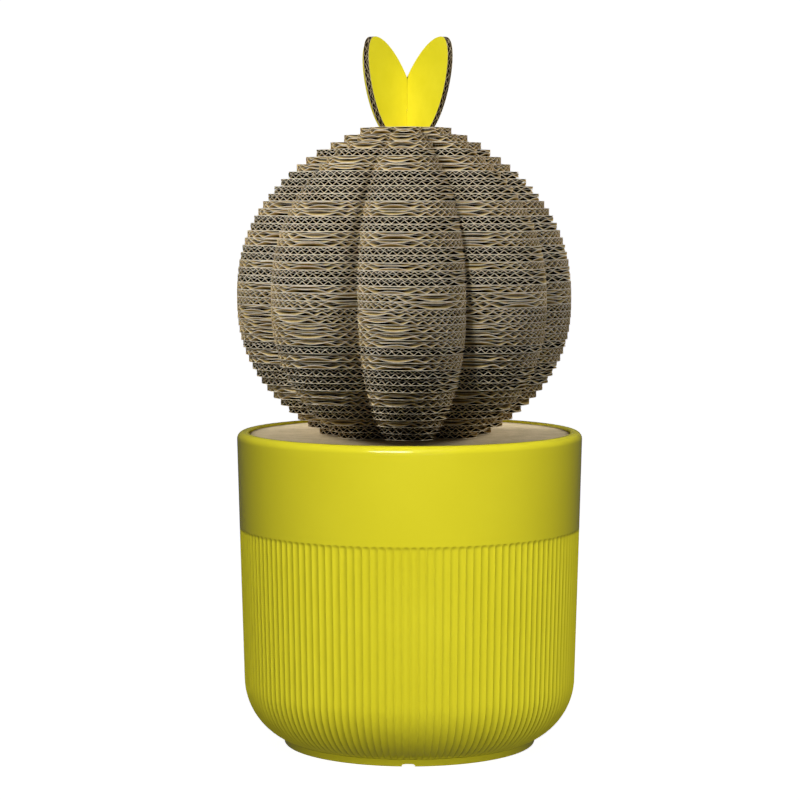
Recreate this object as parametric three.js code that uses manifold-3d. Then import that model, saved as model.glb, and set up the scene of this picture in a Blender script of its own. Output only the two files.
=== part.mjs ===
// Cactus-shaped ornament: a ball of stacked corrugated-board discs, with two crossed board petals
// on top, standing on the lid of a round fluted flower pot. Millimetres, +Z up, +X to the right,
// front towards -Y. The origin is the centre of the pot's foot, on the surface it stands on.
import * as THREE from "three";
import { mergeVertices } from "three/addons/utils/BufferGeometryUtils.js";
import Module from "manifold-3d";

// Pot: a moulded shell with a thick rolled rim, a ledge for the lid and a foot ring below.
const rimRadius = 160.8;
const rimThickness = 10.7;
const rimTop = 292.5;
const rimRound = 6.6;
const fluteTop = 204;
const fluteTopRadius = 158.7;
const cornerTop = 62;
const cornerTopRadius = 154.8;
const cornerRound = 60.6;
const wallThickness = 4.5;
const floorTop = 9;
const floorUnderside = 4.5;
const footOuterRadius = 117.6;
const footInnerRadius = 106;
const footHeight = 6.5;
const footEdgeRound = 1.5;
const notchWidth = 12;
const notchHeight = 2.6;
const notchCentreX = -1.4;
const potSegments = 60;

// Lid: a fibreboard disc that lies on the ledge, almost flush with the rim.
const lidTop = 290.25;
const lidThickness = 6;
const lidGap = 0.6;
const ledgeWidth = 8;
const ledgeDepth = 6;
const lidSegments = 60;

// Ball: equal discs of double-wall board, cut to an eight-lobed outline and glued flat on flat.
const boardCount = 42;
const boardThickness = 6.75;
const ballRadius = 155.6;
const ballCentre = 415.9;
const crownHalfHeight = 166.1;
const baseHalfHeight = 150.9;
const acrossPower = 1.43;
const alongPower = 2.33;
const lobeCount = 8;
const lobeSteps = 6;
const lobeCentreShare = 0.68;
const frontLobeHeading = THREE.MathUtils.degToRad(-87);
const spindleX = -4.8;
const stackLean = -0.045;
const crownX = -3.5;

// What holds the ball together inside, and holds it down on the lid.
const tubeRadius = 20;
const tubeWall = 3;
const tubeGap = 0.4;
const tubeBoards = 36;
const pocketBoards = 2;
const pocketRadius = 29;
const rodRadius = 4;
const rodGap = 0.4;
const rodPastNut = 3.5;
const washerRadius = 26;
const washerThickness = 2;
const nutAcrossFlats = 13;
const nutHeight = 6.5;
const roundSegments = 12;

// Petals: two flat boards of the same stuff, halved into each other, in a cross slot at the top.
const petalHeading = THREE.MathUtils.degToRad(46.5);
const petalX = -2.5;
const petalBoards = 3;
const petalGap = 0.4;
const petalTip = { out: 45.3, up: 81.8 };
const petalBulge = { out: 51.7, up: 22.7 };
const petalShoulder = { out: 12, up: 62.7 };
const petalTipRound = { outer: 17.8, inner: 14 };
const petalBase = 31.6;
const petalNotch = 40.2;
const petalTabHalf = 24;
const petalJoint = 16;
const petalSteps = 12;

const colours = {
  pot: 0xd3cc26,
  lid: 0xb3a288,
  board: 0xa58b62,
  petal: 0xe3da2c,
  tube: 0x9c7f57,
  steel: 0xb9bcc0,
};

const wasm = await Module();
wasm.setup();

function material(color, roughness, metalness = 0) {
  return new THREE.MeshStandardMaterial({ color, roughness, metalness });
}

// A closed geometry as a solid that can be joined and cut.
function toSolid(geometry) {
  const bare = geometry.clone();
  bare.deleteAttribute("normal");
  bare.deleteAttribute("uv");
  const merged = mergeVertices(bare, 1e-4);
  const mesh = new wasm.Mesh({
    numProp: 3,
    vertProperties: new Float32Array(merged.attributes.position.array),
    triVerts: new Uint32Array(merged.index.array),
  });
  return new wasm.Manifold(mesh);
}

function toGeometry(solid) {
  const mesh = solid.getMesh();
  const geometry = new THREE.BufferGeometry();
  geometry.setAttribute("position", new THREE.BufferAttribute(mesh.vertProperties, 3));
  geometry.setIndex(new THREE.BufferAttribute(mesh.triVerts, 1));
  geometry.computeVertexNormals();
  return geometry;
}

// Profiles are lists of [radius, height]; they turn about Z.
function turned(profile, segments) {
  const points = profile.map(([radius, height]) => new THREE.Vector2(radius, height));
  return new THREE.LatheGeometry(points, segments).rotateX(Math.PI / 2);
}

function ring(outerRadius, innerRadius, bottom, top, segments) {
  const profile = [
    [innerRadius, bottom],
    [outerRadius, bottom],
    [outerRadius, top],
    [innerRadius, top],
    [innerRadius, bottom],
  ];
  return turned(profile, segments);
}

function arcProfile(centreRadius, centreHeight, round, from, to, steps) {
  const points = [];
  for (let step = 0; step <= steps; step++) {
    const angle = THREE.MathUtils.degToRad(from + ((to - from) * step) / steps);
    points.push([centreRadius + round * Math.cos(angle), centreHeight + round * Math.sin(angle)]);
  }
  return points;
}

function circlePoints(radius, segments, centreX = 0) {
  const points = [];
  for (let step = 0; step < segments; step++) {
    const angle = (step * 2 * Math.PI) / segments;
    points.push(new THREE.Vector2(centreX + radius * Math.cos(angle), radius * Math.sin(angle)));
  }
  return points;
}

function plate(outline, holes, thickness) {
  const shape = new THREE.Shape(outline);
  shape.holes = holes.map((points) => new THREE.Path(points));
  return new THREE.ExtrudeGeometry(shape, { depth: thickness, bevelEnabled: false });
}

function addPart(group, name, geometry, look, position = [0, 0, 0]) {
  const mesh = new THREE.Mesh(geometry, look);
  mesh.name = name;
  mesh.position.set(...position);
  group.add(mesh);
}

// The pot is one moulding, built as plain rings that meet face to face. Each section runs out along
// its underside, up the outside and back down inside.
function potSections() {
  const cornerRadius = cornerTopRadius - cornerRound;
  const innerRound = cornerRound - wallThickness;
  const crownRadius = rimRadius - rimRound;
  const rimInner = rimRadius - rimThickness;
  const ledgeTop = lidTop - lidThickness;
  const ledgeBottom = ledgeTop - ledgeDepth;
  const rimBottom = ledgeBottom - 2 * ledgeWidth;
  const wallInner = fluteTopRadius - wallThickness;
  const fall = (round, height) => -THREE.MathUtils.radToDeg(Math.asin((cornerTop - height) / round));
  const corner = (round, from, to, steps) =>
    arcProfile(cornerRadius, cornerTop, round, fall(round, from), fall(round, to), steps);
  const rise = (rimBottom - fluteTop) / (rimTop - rimRound - fluteTop);
  const rimFoot = [fluteTopRadius + rise * (rimRadius - fluteTopRadius), rimBottom];
  const closed = (profile) => [...profile, profile[0]];
  return {
    pot_floor: [
      [0, floorUnderside],
      [footInnerRadius, floorUnderside],
      [footInnerRadius, floorTop],
      [0, floorTop],
    ],
    pot_foot: closed([
      [footInnerRadius, floorUnderside],
      [footInnerRadius + 1, 0],
      ...arcProfile(footOuterRadius - footEdgeRound, footEdgeRound, footEdgeRound, -90, 0, 3),
      ...corner(cornerRound, footHeight, floorTop, 1),
      [footInnerRadius, floorTop],
    ]),
    pot_corner: closed([
      ...corner(cornerRound, floorTop, cornerTop, 8),
      ...corner(innerRound, cornerTop, floorTop, 6),
    ]),
    pot_wall: closed([
      [cornerTopRadius, cornerTop],
      [fluteTopRadius, fluteTop],
      rimFoot,
      [wallInner, rimBottom],
      [wallInner, fluteTop],
      [cornerTopRadius - wallThickness, cornerTop],
    ]),
    pot_rim: closed([
      rimFoot,
      ...arcProfile(crownRadius, rimTop - rimRound, rimRound, 0, 90, 5),
      [rimInner + 2, rimTop],
      [rimInner, rimTop - 1.5],
      [rimInner, ledgeTop],
      [rimInner - ledgeWidth, ledgeTop],
      [rimInner - ledgeWidth, ledgeBottom],
      [wallInner, rimBottom],
    ]),
  };
}

// A small drain notch runs out through the foot ring at the front.
function notched(foot) {
  const halfWidth = notchWidth / 2;
  const arch = new THREE.Shape();
  arch.moveTo(-halfWidth, -1);
  arch.lineTo(halfWidth, -1);
  arch.lineTo(halfWidth, notchHeight / 3);
  arch.quadraticCurveTo(halfWidth, notchHeight, halfWidth / 2, notchHeight);
  arch.lineTo(-halfWidth / 2, notchHeight);
  arch.quadraticCurveTo(-halfWidth, notchHeight, -halfWidth, notchHeight / 3);
  const reach = footOuterRadius + 3;
  const cut = new THREE.ExtrudeGeometry(arch, {
    depth: reach - footInnerRadius + 6,
    bevelEnabled: false,
    curveSegments: 3,
  });
  cut.rotateX(Math.PI / 2).translate(notchCentreX, 6 - footInnerRadius, 0);
  return toGeometry(toSolid(foot).subtract(toSolid(cut)));
}

function addPot(group, look) {
  for (const [name, profile] of Object.entries(potSections())) {
    const ringShape = turned(profile, potSegments);
    addPart(group, name, name === "pot_foot" ? notched(ringShape) : ringShape, look);
  }
}

function lidGeometry() {
  const outline = circlePoints(rimRadius - rimThickness - lidGap, lidSegments);
  const hole = circlePoints(rodRadius + rodGap, roundSegments, spindleX);
  return plate(outline, [hole], lidThickness);
}

// The outer radius of a disc whose middle lies this far above the ball's centre.
function ballRadiusAt(rise) {
  const halfHeight = rise > 0 ? crownHalfHeight : baseHalfHeight;
  const share = 1 - Math.pow(Math.abs(rise) / halfHeight, alongPower);
  return ballRadius * Math.pow(share, 1 / acrossPower);
}

// Eight round lobes that meet in sharp grooves.
function lobedOutline(radius) {
  const lobeCentre = radius * lobeCentreShare;
  const lobeRadius = radius - lobeCentre;
  const halfPitch = Math.PI / lobeCount;
  const side = lobeCentre * Math.sin(halfPitch);
  const groove = lobeCentre * Math.cos(halfPitch) + Math.sqrt(lobeRadius ** 2 - side ** 2);
  const sweep = Math.atan2(
    groove * Math.sin(halfPitch),
    groove * Math.cos(halfPitch) - lobeCentre,
  );
  const points = [];
  for (let lobe = 0; lobe < lobeCount; lobe++) {
    const heading = frontLobeHeading + 2 * halfPitch * lobe;
    for (let step = 0; step < lobeSteps; step++) {
      const turn = heading + sweep * ((2 * step) / lobeSteps - 1);
      const x = lobeCentre * Math.cos(heading) + lobeRadius * Math.cos(turn);
      const y = lobeCentre * Math.sin(heading) + lobeRadius * Math.sin(turn);
      points.push(new THREE.Vector2(x, y));
    }
  }
  return points;
}

// A plus-shaped slot that takes both petal boards.
function crossOutline(centreX) {
  const half = boardThickness / 2 + petalGap;
  const reach = petalTabHalf + petalGap;
  const points = [];
  for (let quarter = 0; quarter < 4; quarter++) {
    for (const [along, aside] of [[half, -half], [reach, -half], [reach, half]]) {
      const point = new THREE.Vector2(along, aside);
      point.rotateAround(new THREE.Vector2(0, 0), petalHeading + (quarter * Math.PI) / 2);
      points.push(point.setX(point.x + centreX));
    }
  }
  return points;
}

// The stack leans a little. Its top boards, which hold the petals, sit to the right of the rest.
function stackX(board) {
  if (board > boardCount - petalBoards) {
    return crownX;
  }
  return spindleX + stackLean * (board - (boardCount + 1) / 2);
}

// Board 1 is the lowest. The tube runs through the low ones, the clamp nut sits in a pocket above
// it, one whole board closes the pocket, and the petals stand in the last ones.
function boardHoles(board) {
  if (board <= tubeBoards) {
    return [circlePoints(tubeRadius + tubeGap, roundSegments, spindleX - stackX(board))];
  }
  if (board <= tubeBoards + pocketBoards) {
    return [circlePoints(pocketRadius, roundSegments, spindleX - stackX(board))];
  }
  return board > boardCount - petalBoards ? [crossOutline(petalX - stackX(board))] : [];
}

function addBoards(group, look) {
  for (let board = 1; board <= boardCount; board++) {
    const bottom = lidTop + (board - 1) * boardThickness;
    const radius = ballRadiusAt(bottom + boardThickness / 2 - ballCentre);
    const name = `board_${String(board).padStart(2, "0")}`;
    const geometry = plate(lobedOutline(radius), boardHoles(board), boardThickness);
    addPart(group, name, geometry, look, [stackX(board), 0, bottom]);
  }
}

// One half of a petal board's outline, from the edge of the tab up over the tip to the notch.
function petalHalf(side) {
  const bezier = (...points) =>
    new THREE.CubicBezierCurve(...points.map(([out, up]) => new THREE.Vector2(side * out, up)));
  const outer = bezier(
    [petalBase, 0],
    [petalBulge.out, petalBulge.up],
    [petalTip.out + petalTipRound.outer, petalTip.up],
    [petalTip.out, petalTip.up],
  );
  const inner = bezier(
    [petalTip.out, petalTip.up],
    [petalTip.out - petalTipRound.inner, petalTip.up],
    [petalShoulder.out, petalShoulder.up],
    [0, petalNotch],
  );
  return [...outer.getPoints(petalSteps), ...inner.getPoints(petalSteps).slice(1)];
}

// A petal board stands in the XZ plane, centred on Y, with its foot at -petalBoards boards.
function petalSolid() {
  const tabDepth = petalBoards * boardThickness;
  const right = petalHalf(1);
  const left = petalHalf(-1).reverse().slice(1);
  const outline = [
    new THREE.Vector2(-petalTabHalf, 0),
    new THREE.Vector2(-petalTabHalf, -tabDepth),
    new THREE.Vector2(petalTabHalf, -tabDepth),
    new THREE.Vector2(petalTabHalf, 0),
    ...right,
    ...left,
  ];
  const board = plate(outline, [], boardThickness);
  board.translate(0, 0, -boardThickness / 2).rotateX(Math.PI / 2);
  return toSolid(board);
}

// Takes a slot as wide as a board out of the middle, from one height to another.
function slotted(solid, from, to) {
  const width = boardThickness + 2 * petalGap;
  const cutter = new THREE.BoxGeometry(width, 2 * boardThickness, to - from);
  cutter.translate(0, 0, (from + to) / 2);
  return toGeometry(solid.subtract(toSolid(cutter)));
}

function addPetals(group, look) {
  const top = lidTop + boardCount * boardThickness;
  const below = -petalBoards * boardThickness - 1;
  const upper = slotted(petalSolid(), below, petalJoint + petalGap);
  const lower = slotted(petalSolid(), petalJoint, petalTip.up);
  const cross = new THREE.Group();
  cross.position.set(petalX, 0, top);
  cross.rotation.z = petalHeading;
  addPart(cross, "petal_board_upper", upper, look);
  lower.rotateZ(Math.PI / 2);
  addPart(cross, "petal_board_lower", lower, look);
  group.add(cross);
}

function nut() {
  const outline = circlePoints(nutAcrossFlats / Math.sqrt(3), 6);
  return plate(outline, [circlePoints(rodRadius + rodGap, roundSegments)], nutHeight);
}

function washer() {
  return ring(washerRadius, rodRadius + rodGap, 0, washerThickness, roundSegments);
}

// Tube, rod, washers and nuts, from the lid's underside to the pocket near the top of the ball.
function addSpindle(group) {
  const tubeTop = lidTop + tubeBoards * boardThickness;
  const lidUnderside = lidTop - lidThickness;
  const clampHeight = washerThickness + nutHeight;
  const rodBottom = lidUnderside - clampHeight - rodPastNut;
  const rodTop = tubeTop + clampHeight + rodPastNut;
  const steel = material(colours.steel, 0.35, 1);
  const tube = ring(tubeRadius, tubeRadius - tubeWall, lidTop, tubeTop, roundSegments);
  addPart(group, "core_tube", tube, material(colours.tube, 0.9), [spindleX, 0, 0]);
  const rod = plate(circlePoints(rodRadius, roundSegments), [], rodTop - rodBottom);
  addPart(group, "clamp_rod", rod, steel, [spindleX, 0, rodBottom]);
  addPart(group, "upper_washer", washer(), steel, [spindleX, 0, tubeTop]);
  addPart(group, "upper_nut", nut(), steel, [spindleX, 0, tubeTop + washerThickness]);
  const lowerWasher = lidUnderside - washerThickness;
  addPart(group, "lower_washer", washer(), steel, [spindleX, 0, lowerWasher]);
  addPart(group, "lower_nut", nut(), steel, [spindleX, 0, lowerWasher - nutHeight]);
}

const group = new THREE.Group();
addPot(group, material(colours.pot, 0.35));
const lidBottom = lidTop - lidThickness;
addPart(group, "pot_lid", lidGeometry(), material(colours.lid, 0.9), [0, 0, lidBottom]);
addBoards(group, material(colours.board, 0.9));
addPetals(group, material(colours.petal, 0.55));
addSpindle(group);

export default group;
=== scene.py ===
import math
import random

import bpy
from mathutils import Matrix, Vector


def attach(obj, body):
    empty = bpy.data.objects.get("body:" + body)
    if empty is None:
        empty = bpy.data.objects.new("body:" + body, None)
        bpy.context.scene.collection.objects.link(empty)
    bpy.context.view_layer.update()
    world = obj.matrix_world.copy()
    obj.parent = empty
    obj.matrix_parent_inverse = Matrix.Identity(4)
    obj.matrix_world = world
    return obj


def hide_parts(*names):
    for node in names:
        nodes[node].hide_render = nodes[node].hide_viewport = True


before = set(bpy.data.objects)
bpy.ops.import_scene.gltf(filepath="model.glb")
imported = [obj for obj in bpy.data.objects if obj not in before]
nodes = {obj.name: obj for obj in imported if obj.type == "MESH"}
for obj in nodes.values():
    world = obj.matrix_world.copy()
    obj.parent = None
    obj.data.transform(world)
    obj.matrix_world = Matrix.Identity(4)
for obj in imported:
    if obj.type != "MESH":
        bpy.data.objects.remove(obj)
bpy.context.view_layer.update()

# A cactus-shaped cat scratcher. A ball of corrugated-board discs stands on the lid of a fluted plastic pot,
# and two crossed yellow boards make the petals on top. Metres, +Z up, front towards -Y.

mm = 0.001
scene = bpy.context.scene
lit = {name: bpy.data.collections.new(name + "Lit") for name in ("ball", "petals", "lid", "pot")}
mixA, mixB, mixResult = 6, 7, 2  # sockets of a Mix node that mixes colours
overcut = 1  # mm, how far a cutter reaches past what it cuts
print("frame loaded:", len(nodes), "parts")


# Turns an sRGB hex value to linear.
def linear(hexColour):
    channels = [int(hexColour[i:i + 2], 16) / 255 for i in (1, 3, 5)]
    return (*[c / 12.92 if c <= 0.04045 else ((c + 0.055) / 1.055) ** 2.4 for c in channels], 1)


# Sets a node's inputs. Each is given a plain value, a node or socket to link, or a list of those.
def setInputs(tree, node, inputs):
    for key, value in inputs.items():
        for each in value if isinstance(value, list) else [value]:
            source = each.outputs[0] if isinstance(each, bpy.types.Node) else each
            if isinstance(source, bpy.types.NodeSocket):
                tree.links.new(source, node.inputs[key])
            else:
                node.inputs[key].default_value = source


# Adds a node with its inputs and settings.
def addNode(tree, kind, inputs=None, **settings):
    node = tree.nodes.new(kind)
    for setting, value in settings.items():
        setattr(node, setting, value)
    setInputs(tree, node, inputs or {})
    return node


# A new material, its tree and its shader.
def newMaterial(name):
    material = bpy.data.materials.new(name)
    material.use_nodes = True
    return material, material.node_tree, material.node_tree.nodes["Principled BSDF"]


def newObject(name, mesh):
    made = bpy.data.objects.new(name, mesh)
    scene.collection.objects.link(made)
    return made


# Rounds the shading of gentle bends and keeps the real edges sharp.
def softShade(mesh, degrees):
    mesh.shade_smooth()
    mesh.set_sharp_from_angle(angle=math.radians(degrees))


def addPiece(name, mesh, replaced, litWith, crease=40):
    softShade(mesh, crease)
    piece = newObject(name, mesh)
    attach(piece, "root")
    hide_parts(*replaced)
    lit[litWith].objects.link(piece)


# An upright solid on a flat outline.
def prism(name, outline, bottom, top):
    count = len(outline)
    points = [(x, y, z) for z in (bottom, top) for x, y in outline]
    sides = [(i, (i + 1) % count, count + (i + 1) % count, count + i) for i in range(count)]
    ends = [tuple(reversed(range(count))), tuple(range(count, 2 * count))]
    mesh = bpy.data.meshes.new(name)
    mesh.from_pydata(points, [], ends + sides)
    return mesh


def ringPoints(radius, count, centreX=0, centreY=0):
    steps = [2 * math.pi * i / count for i in range(count)]
    return [(centreX + radius * math.cos(a), centreY + radius * math.sin(a)) for a in steps]


# A solid turned about Z from a section of (radius, height) that starts and ends on the axis. Gives the
# mesh, and for each point of the section the points that it was turned into.
def turnedMesh(name, section, headings):
    points, rows = [], []
    for radius, height in section:
        start = len(points)
        if radius:
            points += [(radius * math.cos(a), radius * math.sin(a), height) for a in headings]
            rows.append(list(range(start, len(points))))
        else:
            points.append((0, 0, height))
            rows.append([start] * len(headings))
    faces = []
    for low, high in zip(rows, rows[1:]):
        for i in range(len(headings)):
            following = (i + 1) % len(headings)
            corners = (low[i], low[following], high[following], high[i])
            faces.append(list(dict.fromkeys(corners)))
    mesh = bpy.data.meshes.new(name)
    mesh.from_pydata(points, [], faces)
    return mesh, rows


# Points of (radius, height) on an arc between two angles, in degrees.
def arcSection(centreRadius, centreHeight, bend, start, end, steps):
    turns = [math.radians(start + (end - start) * i / steps) for i in range(steps + 1)]
    return [(centreRadius + bend * math.cos(t), centreHeight + bend * math.sin(t)) for t in turns]


# A geometry tree with its named inputs. Gives the tree and the sockets that read them.
def newTree(name, inputs):
    tree = bpy.data.node_groups.new(name, "GeometryNodeTree")
    tree.interface.new_socket("Geometry", in_out="OUTPUT", socket_type="NodeSocketGeometry")
    for label, kind in inputs.items():
        tree.interface.new_socket(label, in_out="INPUT", socket_type="NodeSocket" + kind)
    return tree, tree.nodes.new("NodeGroupInput").outputs


# Runs a tree on a mesh and gives the result as a plain mesh.
def runTree(name, tree, values, base=None):
    holder = newObject(name + "Maker", base or bpy.data.meshes.new(name + "Maker"))
    modifier = holder.modifiers.new("maker", "NODES")
    modifier.node_group = tree
    for socket in tree.interface.items_tree:
        if socket.in_out == "INPUT" and socket.name in values:
            modifier[socket.identifier] = values[socket.name]
    depsgraph = bpy.context.evaluated_depsgraph_get()
    mesh = bpy.data.meshes.new_from_object(holder.evaluated_get(depsgraph))
    mesh.name = name
    bpy.data.objects.remove(holder)
    return mesh


def cutTree():
    tree, given = newTree("cut", {"Solid": "Geometry", "Cutter": "Object", "Surface": "Material"})
    cutter = addNode(tree, "GeometryNodeObjectInfo", {"Object": given["Cutter"]})
    pierced = addNode(tree, "GeometryNodeMeshBoolean", {
        "Mesh 1": given["Solid"], "Mesh 2": cutter.outputs["Geometry"]},
        operation="DIFFERENCE", solver="MANIFOLD")
    real = addNode(tree, "GeometryNodeRealizeInstances", {0: pierced})
    finished = addNode(tree, "GeometryNodeSetMaterial", {"Geometry": real, "Material": given["Surface"]})
    addNode(tree, "NodeGroupOutput", {"Geometry": finished})
    return tree


# Takes one solid out of another, which gets the surface all over.
def cutOut(name, solid, cutter, surface):
    blade = newObject(name + "Cutter", cutter)
    mesh = runTree(name, cut, {"Cutter": blade, "Surface": surface}, solid)
    bpy.data.objects.remove(blade)
    return mesh


cut = cutTree()

camera = dict(
    place=(-8.9, -2400, 507),  # mm, fitted to the pot as the photo shows it
    tiltDown=4.43,  # degrees
    lens=116.1, sensor=36,  # mm
    farthest=60,  # metres
)

lens = bpy.data.cameras.new("camera")
lens.lens = camera["lens"]
lens.sensor_width = camera["sensor"]
lens.clip_end = camera["farthest"]
eye = newObject("camera", lens)
eye.location = Vector(camera["place"]) * mm
eye.rotation_euler = (math.radians(90 - camera["tiltDown"]), 0, 0)
scene.camera = eye
scene.view_settings.view_transform = "Standard"

stage = dict(
    halfWidth=9, front=-6, bendStart=2.5, bendRadius=3, wallTop=9,  # metres, of the paper behind the object
    bendSteps=16, crease=60,  # degrees
    paper="#ffffff", glow=0.97,
    roomLight=0.07,  # dim all round, so the sides of the pot fall off
    roomSeen=1.0,
)


# Seamless background paper: matt, evenly lit to near white.
def stagePaper():
    material, tree, shader = newMaterial("seamless paper, matt")
    white = linear(stage["paper"])
    setInputs(tree, shader, {
        "Base Color": white, "Roughness": 1, "Specular IOR Level": 0, "Emission Color": white,
        "Emission Strength": stage["glow"]})
    return material


def makeStage():
    bend, radius = stage["bendStart"], stage["bendRadius"]
    turns = [math.radians(90 * i / stage["bendSteps"]) for i in range(stage["bendSteps"] + 1)]
    profile = [(stage["front"], 0)]
    profile += [(bend + radius * math.sin(t), radius * (1 - math.cos(t))) for t in turns]
    profile += [(bend + radius, stage["wallTop"])]
    wide = stage["halfWidth"]
    points = [(x, y, z) for y, z in profile for x in (-wide, wide)]
    faces = [(2 * i, 2 * i + 1, 2 * i + 3, 2 * i + 2) for i in range(len(profile) - 1)]
    mesh = bpy.data.meshes.new("paperSweep")
    mesh.from_pydata(points, [], faces)
    softShade(mesh, stage["crease"])
    mesh.materials.append(stagePaper())
    sweep = newObject("paperSweep", mesh)
    sweep.visible_diffuse = False  # it doesn't light the object from below
    sweep.visible_glossy = False


def makeRoom():
    room = bpy.data.worlds.new("room")
    room.use_nodes = True
    tree = room.node_tree
    tree.nodes.clear()
    dim, seen = [
        addNode(tree, "ShaderNodeBackground", {"Color": (1, 1, 1, 1), "Strength": stage[label]})
        for label in ("roomLight", "roomSeen")
    ]
    path = addNode(tree, "ShaderNodeLightPath")
    both = addNode(tree, "ShaderNodeMixShader", {0: path.outputs["Is Camera Ray"], 1: dim, 2: seen})
    addNode(tree, "ShaderNodeOutputWorld", {"Surface": both})
    scene.world = room


# The photo lights the ball, the petals, the lid and the pot each in its own way, so each has boxes of
# its own. Metres, watts and degrees. A gridded box has a narrow spread: its light fades off the aim.
onLid = dict(aim=(0, 0, 0.29), size=(1, 1), lights="lid")
onPetals = dict(aim=(0, 0, 0.6), size=(2, 2), lights="petals")
gridded = dict(size=(0.5, 0.5), spread=16, lights="ball")
softBoxes = [
    dict(name="potHighBox", place=(0.08, -1.75, 2.3), aim=(0, -0.15, 0.25), size=(2.2, 1.6), power=74,
         lights="pot"),
    dict(name="potLowBox", place=(0.1, -2.9, 0.4), aim=(0, -0.15, 0.2), size=(2.6, 0.5), power=36,
         lights="pot"),
    dict(name="potBackBox", place=(0.3, 2.9, 1.4), aim=(0, 0.15, 0.2), size=(2.6, 1.4), power=75,
         lights="pot"),
    dict(onPetals, name="petalBackBox", place=(0.1, 2.5, 1.5), power=70),
    dict(gridded, name="ballBackBox", place=(0.8, 1.95, 1.7), aim=(0, 0, 0.51), power=0.7),
    dict(name="rimStreakBox", place=(-0.6, -2.68, 1.83), aim=(0, -0.16, 0.29), size=(1.25, 0.3), power=60,
         onlyMirrored=True, lights="pot"),
    dict(onLid, name="lidLeftBox", place=(-2.2, 1.9, 1.15), power=165),
    dict(onLid, name="lidRightBox", place=(2.2, 1.9, 1.15), power=132),
    dict(onPetals, name="petalBox", place=(-0.1, -2.5, 1.5), power=90),
    dict(gridded, name="ballKeyBox", place=(-1.12, -1.36, 2.14), aim=(0, 0, 0.42), power=0.61),
    dict(gridded, name="ballLeftBox", place=(-2.11, -0.85, 1.25), aim=(0, 0, 0.4), power=0.22),
    dict(gridded, name="ballRightBox", place=(1.87, -1.0, 1.64), aim=(0, 0, 0.51), power=0.36),
]


# The pot is glossy. Only one box shows in it, as the streak on its rim, and that one gives no other light.
def addSoftBox(name, place, aim, size, power, lights, spread=180, onlyMirrored=False):
    light = bpy.data.lights.new(name, "AREA")
    light.shape = "RECTANGLE"
    light.size, light.size_y = size
    light.energy = power
    light.spread = math.radians(spread)
    lamp = newObject(name, light)
    lamp.location = place
    lamp.rotation_euler = (Vector(place) - Vector(aim)).to_track_quat("Z", "Y").to_euler()
    lamp.light_linking.receiver_collection = lit[lights]
    lamp.visible_diffuse = not onlyMirrored
    lamp.visible_glossy = onlyMirrored or lights != "pot"


makeStage()
makeRoom()
for box in softBoxes:
    addSoftBox(**box)
print("camera, stage and lights set")


paperLook = dict(
    kraft="#bba468", kraftDark="#937d46", kraftRoughness=0.85,
    fluting="#dcc283", flutingDark="#bfa464",
    # painted shade inside the flutes: its colour, and how far from the cut it starts and is full
    flutingPaintedShade="#1c140a", paintedShadeStart=0.7, paintedShadeFull=3.2,  # mm from the cut
    cut="#f8efdb", cutDark="#e0d3b8", cutRoughness=0.95, kraftRelief=0.3, cutRelief=0.2,
    core="#d6c6a4", coreDark="#a38d66",
    yellow="#ece02c", yellowDark="#e6da24", yellowRoughness=0.42, yellowRelief=0.05,
    yellowFibre=15.0, yellowBlotch=48.0,  # mm
    fibre=3.0,  # mm, drawn coarser than real fibres, about 1 mm, so that they show
    blotch=24.0,  # mm, cloudiness of the sheet
)

mottle = dict(
    fibreDetail=3, fibreRoughness=0.6, cloudDetail=2,
    darkAt=0.75, lightAt=1.25,  # of fibres and clouds added up
    fibreHeight=0.2,  # mm, at a relief of 1
    sheen=0.3,
)


# Two tones that follow fibres and larger clouds, with the fibres raised a little. Sizes in mm.
def mottled(name, light, dark, roughness, fibreSize, blotchSize, relief):
    material, tree, shader = newMaterial(name)
    place = addNode(tree, "ShaderNodeTexCoord").outputs["Object"]
    fibres = addNode(tree, "ShaderNodeTexNoise", {
        "Vector": place, "Scale": 1 / (fibreSize * mm), "Detail": mottle["fibreDetail"],
        "Roughness": mottle["fibreRoughness"]})
    clouds = addNode(tree, "ShaderNodeTexNoise", {
        "Vector": place, "Scale": 1 / (blotchSize * mm), "Detail": mottle["cloudDetail"]})
    both = addNode(tree, "ShaderNodeMath", {0: fibres, 1: clouds}, operation="ADD")
    share = addNode(tree, "ShaderNodeMapRange", {
        0: both, 1: mottle["darkAt"], 2: mottle["lightAt"], 3: 0, 4: 1})
    colour = addNode(tree, "ShaderNodeMix", {
        "Factor": share, mixA: linear(dark), mixB: linear(light)}, data_type="RGBA")
    bump = addNode(tree, "ShaderNodeBump", {
        "Height": fibres, "Strength": relief, "Distance": mottle["fibreHeight"] * mm})
    setInputs(tree, shader, {
        "Base Color": colour.outputs[mixResult], "Normal": bump, "Roughness": roughness,
        "Specular IOR Level": mottle["sheen"]})
    return material


# A paper in one of paperLook's tones, with the roughness and relief of one of its surfaces.
def paper(name, tone, surface):
    return mottled(name, paperLook[tone], paperLook[tone + "Dark"], paperLook[surface + "Roughness"],
                   paperLook["fibre"], paperLook["blotch"], paperLook[surface + "Relief"])


# Unbleached kraft paper, machine made: brown, dull and faintly cloudy, with its fibres just showing.
kraft = paper("kraft paper, machine finished", "kraft", "kraft")
# Die-cut edge of the same paper: torn fibres scatter more light, so the edge is paler and quite matt.
cutEdge = paper("kraft paper, die-cut edge", "cut", "cut")
# Cut edge of the petals: the same tearing, in a browner core paper with more recycled fibre.
petalEdge = paper("recycled paper, die-cut edge", "core", "cut")
# Printed liner: solid yellow ink on smooth board, so an even colour with a low sheen.
printedYellow = mottled("board liner, printed yellow", paperLook["yellow"], paperLook["yellowDark"],
                        paperLook["yellowRoughness"], paperLook["yellowFibre"],
                        paperLook["yellowBlotch"], paperLook["yellowRelief"])

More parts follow.
